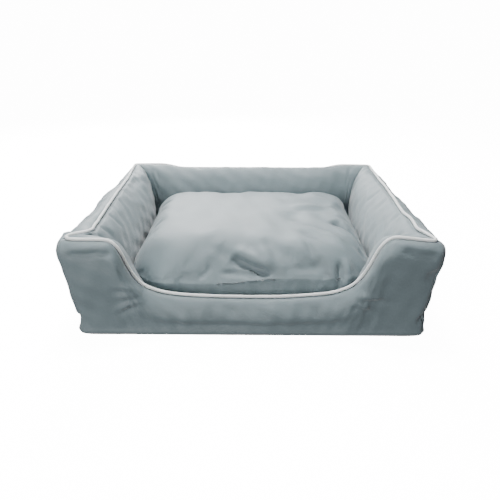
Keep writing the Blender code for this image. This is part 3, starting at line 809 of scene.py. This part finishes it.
C_LOW, C_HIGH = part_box("cushion_fill")
CROWN = C_HIGH.z + 0.004
SEAM_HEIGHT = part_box("cushion_top_panel")[0].z + 0.012
LEFT_EDGE, RIGHT_EDGE = -0.2605, 0.2605
FRONT_EDGE, BACK_EDGE = -0.226, 0.199
REAR_RADIUS, FORE_RADIUS = 0.045, 0.100
# (bearing from the right side, width of the rounded edge, height where it starts)
EDGES = [(0, 0.060, 0.114), (38, 0.065, 0.118), (60, 0.045, 0.138), (90, 0.036, 0.140),
         (120, 0.045, 0.130), (142, 0.075, 0.106), (180, 0.075, 0.104), (215, 0.110, 0.092),
         (240, 0.140, 0.090), (262, 0.120, 0.092), (278, 0.095, 0.101), (300, 0.085, 0.103),
         (325, 0.075, 0.100), (360, 0.060, 0.114)]


def cushion_outline(count):
    """The cushion's edge from above, counter-clockwise from the middle of its right side."""
    corners = ((RIGHT_EDGE - REAR_RADIUS, BACK_EDGE - REAR_RADIUS, REAR_RADIUS, 0),
               (LEFT_EDGE + REAR_RADIUS, BACK_EDGE - REAR_RADIUS, REAR_RADIUS, 90),
               (LEFT_EDGE + FORE_RADIUS, FRONT_EDGE + FORE_RADIUS, FORE_RADIUS, 180),
               (RIGHT_EDGE - FORE_RADIUS, FRONT_EDGE + FORE_RADIUS, FORE_RADIUS, 270))
    line = [(RIGHT_EDGE, 0.0)]
    for x, y, radius, start in corners:
        for angle in np.radians(np.linspace(start, start + 90, 14)):
            line.append((x + radius * math.cos(angle), y + radius * math.sin(angle)))
    return resample(np.array(line + [(RIGHT_EDGE, 0.0)]), count + 1)[:-1]


def cushion_surface(rings=52, spokes=360):
    """Rings from the middle of the top, over the edge and under to the middle of the bottom."""
    outline = cushion_outline(spokes)
    middle = outline.mean(0)
    reach = outline - middle
    radius = np.linalg.norm(reach, axis=1)
    floor = SEAM_HEIGHT - 0.006
    bearing = np.degrees(np.arctan2(reach[:, 1], reach[:, 0])) % 360
    angle, width, start = np.array(EDGES).T
    width = np.interp(bearing, angle, width)
    edge = np.interp(bearing, angle, start)
    top, bottom = [], []
    for share in np.sin(np.linspace(0, 1, rings) * np.pi / 2) ** 0.9:
        flat = middle + reach * share
        inside = (1 - share) * radius
        rise = (1 - (1 - np.clip(inside / width, 0, 1)) ** 2.2) ** 0.92
        crown = CROWN - 0.010 * share ** 3
        top.append(np.column_stack([flat, mix(edge, crown, rise)]))
        rise = (1 - (1 - np.clip(inside / 0.035, 0, 1)) ** 2.2) ** 0.6
        bottom.append(np.column_stack([flat, mix(floor, C_LOW.z, rise)]))
    sides = [mix(top[-1], bottom[-1], k / 8) for k in range(1, 8)]
    return np.array(top + sides + bottom[::-1])


def ring_mesh(name, surface):
    """A closed mesh over rings of points, its poles merged."""
    rings, spokes = surface.shape[:2]
    a, b = np.meshgrid(np.arange(rings - 1), np.arange(spokes), indexing="ij")
    n = (b + 1) % spokes
    quads = np.stack([a * spokes + b, (a + 1) * spokes + b, (a + 1) * spokes + n, a * spokes + n], -1)
    mesh = bpy.data.meshes.new(name)
    mesh.from_pydata(surface.reshape(-1, 3).tolist(), [], quads.reshape(-1, 4).tolist())
    bm = bmesh.new()
    bm.from_mesh(mesh)
    bmesh.ops.remove_doubles(bm, verts=bm.verts, dist=0.0003)
    bmesh.ops.recalc_face_normals(bm, faces=bm.faces)
    bm.to_mesh(mesh)
    bm.free()
    return mesh


def corners_of(mesh):
    points = np.zeros(len(mesh.vertices) * 3, np.float32)
    mesh.vertices.foreach_get("co", points)
    return points.reshape(-1, 3).astype(float)


def blow_up(surface, cap=0.007, frames=20):
    """Stuffs the cushion: a copy's cloth, cut a little large, swells, and the rings follow it."""
    scene = bpy.context.scene
    thing = bpy.data.objects.new("swelling", ring_mesh("swelling", surface))
    scene.collection.objects.link(thing)
    remesh = thing.modifiers.new("remesh", "REMESH")
    remesh.mode = "VOXEL"
    remesh.voxel_size = 0.006
    ready = thing.evaluated_get(bpy.context.evaluated_depsgraph_get())
    even = bpy.data.meshes.new_from_object(ready)
    thing.modifiers.clear()
    thing.data = even
    before = corners_of(even)
    held = thing.vertex_groups.new(name="held")
    held.add(np.nonzero(before[:, 2] < SEAM_HEIGHT)[0].tolist(), 1.0, "REPLACE")
    cloth = thing.modifiers.new("cloth", "CLOTH")
    settings = cloth.settings
    settings.quality = 5
    settings.use_pressure = True
    settings.uniform_pressure_force = 4
    settings.effector_weights.gravity = 0
    settings.shrink_min = -0.035
    settings.vertex_group_mass = "held"
    cloth.point_cache.frame_end = frames
    for frame_number in range(1, frames + 1):
        scene.frame_set(frame_number)
    ready = thing.evaluated_get(bpy.context.evaluated_depsgraph_get())
    moved = corners_of(ready.data) - before
    length = np.linalg.norm(moved, axis=1, keepdims=True)
    moved *= np.tanh(length / cap) * cap / np.maximum(length, 1e-9)
    bpy.data.objects.remove(thing)
    scene.frame_set(1)
    tree = KDTree(len(before))
    for k, point in enumerate(before):
        tree.insert(point, k)
    tree.balance()
    flat = surface.reshape(-1, 3)
    follow = np.zeros_like(flat)
    for k, point in enumerate(flat):
        near = tree.find_n(point, 4)
        weight = np.array([1 / (far + 1e-4) for _, _, far in near])
        follow[k] = weight @ moved[[index for _, index, _ in near]] / weight.sum()
    return surface + follow.reshape(surface.shape)


def slack_cushion(surface):
    """Gentle slackness all over the top."""
    normal = grid_normals(surface, False)
    x, y = surface[..., 0], surface[..., 1]
    uneven = 0.0016 * waves(x, y, 31, 0.14) + 0.0008 * waves(x, y, 32, 0.05)
    hold = smooth((surface[..., 2] - SEAM_HEIGHT) / 0.05)
    return surface + normal * (uneven * hold)[..., None]


def add_cushion(cloth):
    surface = cushion_surface()
    surface = blow_up(surface)
    surface = slack_cushion(surface)
    for line, width, depth, start, end in CUSHION_DENTS:
        surface = dent(surface, line, width, depth, start, end, False)
    for line, width, depth, start, end in CUSHION_PLEATS:
        surface = pleat(surface, line, width, depth, start, end, False)
    surface = make_room(surface, "cushion_zip_tape")
    piece = mesh_object("seat_cushion", ring_mesh("seat_cushion", surface), cloth)
    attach(piece, "cushion")
    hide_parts("cushion_top_panel", "cushion_bottom_panel", "cushion_fill")


# (line, width, depth, fade at start, fade at end)
CUSHION_DENTS = [
    # the folded dart at the middle of the front, and what runs off it
    ([(-0.044, -0.184, 0.136), (0.000, -0.202, 0.122), (0.046, -0.216, 0.106)], 0.0062, 0.0085, 0.15, 0.25),
    ([(-0.068, -0.206, 0.112), (-0.024, -0.212, 0.108), (0.020, -0.215, 0.106)], 0.0060, 0.0070, 0.25, 0.30),
    ([(-0.045, -0.190, 0.142), (-0.070, -0.178, 0.148), (-0.100, -0.166, 0.152)], 0.0090, 0.0028, 0.1, 0.6),
    ([(-0.108, -0.219, 0.100), (-0.092, -0.212, 0.110), (-0.078, -0.200, 0.124)], 0.0055, 0.0040, 0.3, 0.3),
    # slack on the right half
    ([(0.085, 0.000, 0.158), (0.102, -0.040, 0.158), (0.116, -0.093, 0.156)], 0.0200, 0.0050, 0.3, 0.4),
    ([(0.182, -0.056, 0.158), (0.212, -0.084, 0.152), (0.238, -0.110, 0.137), (0.255, -0.150, 0.115)],
     0.0120, 0.0190, 0.12, 0.3),
    ([(0.222, -0.150, 0.140), (0.250, -0.160, 0.118)], 0.0070, 0.0060, 0.3, 0.3),
    ([(0.176, -0.196, 0.132), (0.179, -0.214, 0.112), (0.178, -0.224, 0.085)], 0.0065, 0.0130, 0.35, 0.0),
    ([(0.190, -0.190, 0.138), (0.194, -0.212, 0.112), (0.193, -0.220, 0.090)], 0.0080, -0.0060, 0.35, 0.0),
    ([(0.060, -0.205, 0.118), (0.110, -0.206, 0.118), (0.160, -0.203, 0.120)], 0.0100, 0.0040, 0.3, 0.3),
]
CUSHION_PLEATS = [
    ([(-0.046, -0.178, 0.138), (0.000, -0.198, 0.124), (0.050, -0.214, 0.108)], 0.0110, 0.0085, 0.20, 0.35),
    ([(0.010, -0.160, 0.150), (0.050, -0.186, 0.140), (0.084, -0.208, 0.118)], 0.0130, -0.0040, 0.3, 0.3),
    ([(0.088, 0.012, 0.158), (0.140, 0.024, 0.158), (0.205, 0.030, 0.154)], 0.0140, 0.0038, 0.25, 0.4),
    ([(0.112, -0.104, 0.157), (0.152, -0.138, 0.155), (0.196, -0.166, 0.148)], 0.0120, 0.0040, 0.25, 0.4),
    ([(0.120, 0.110, 0.157), (0.170, 0.085, 0.156), (0.225, 0.070, 0.148)], 0.0180, 0.0030, 0.3, 0.4),
    ([(-0.040, 0.080, 0.158), (0.020, 0.060, 0.158), (0.090, 0.055, 0.158)], 0.0220, 0.0016, 0.4, 0.4),
]

# ---------------------------------------------------------------- make everything

look()
studio()
grey = fabric("cover_cloth", (0.165, 0.212, 0.230), rough=0.50, sheen=0.30)
cream = fabric("piping_cloth", (0.80, 0.82, 0.81), pitch=0.0009, rough=0.7, sheen=0.1, spread=0.03)
lining = fabric("lining_cloth", (0.130, 0.165, 0.178), pitch=0.0014, rough=0.8, sheen=0.1)
tape = fabric("zip_tape_cloth", (0.060, 0.078, 0.086), pitch=0.0007, rough=0.75, sheen=0.1, spread=0.08)
nylon = hard("coil_nylon", (0.045, 0.055, 0.060), 0.38)
zinc = hard("slider_zinc", (0.52, 0.53, 0.54), 0.34, metallic=1.0)
dress("base_panel", non_slip("base_cloth", (0.022, 0.025, 0.028), (0.070, 0.074, 0.078), 0.008))
dress("base_pad", felted("pad_felt", (0.72, 0.72, 0.70)))
for cover, body in (("ring", "bed"), ("cushion", "cushion")):
    dress(f"{cover}_zip_tape", tape)
    dress(f"{cover}_zip_slider", zinc)
    dress(f"{cover}_zip_pull", zinc)
    add_coils(cover, body, nylon)
grid, spans = cover_grid()
grid = shape_cover(round_corners(grid, spans), spans)
add_cover(grid, spans, grey)
add_piping(grid, cream)
add_deck(lining)
add_cushion(grey)
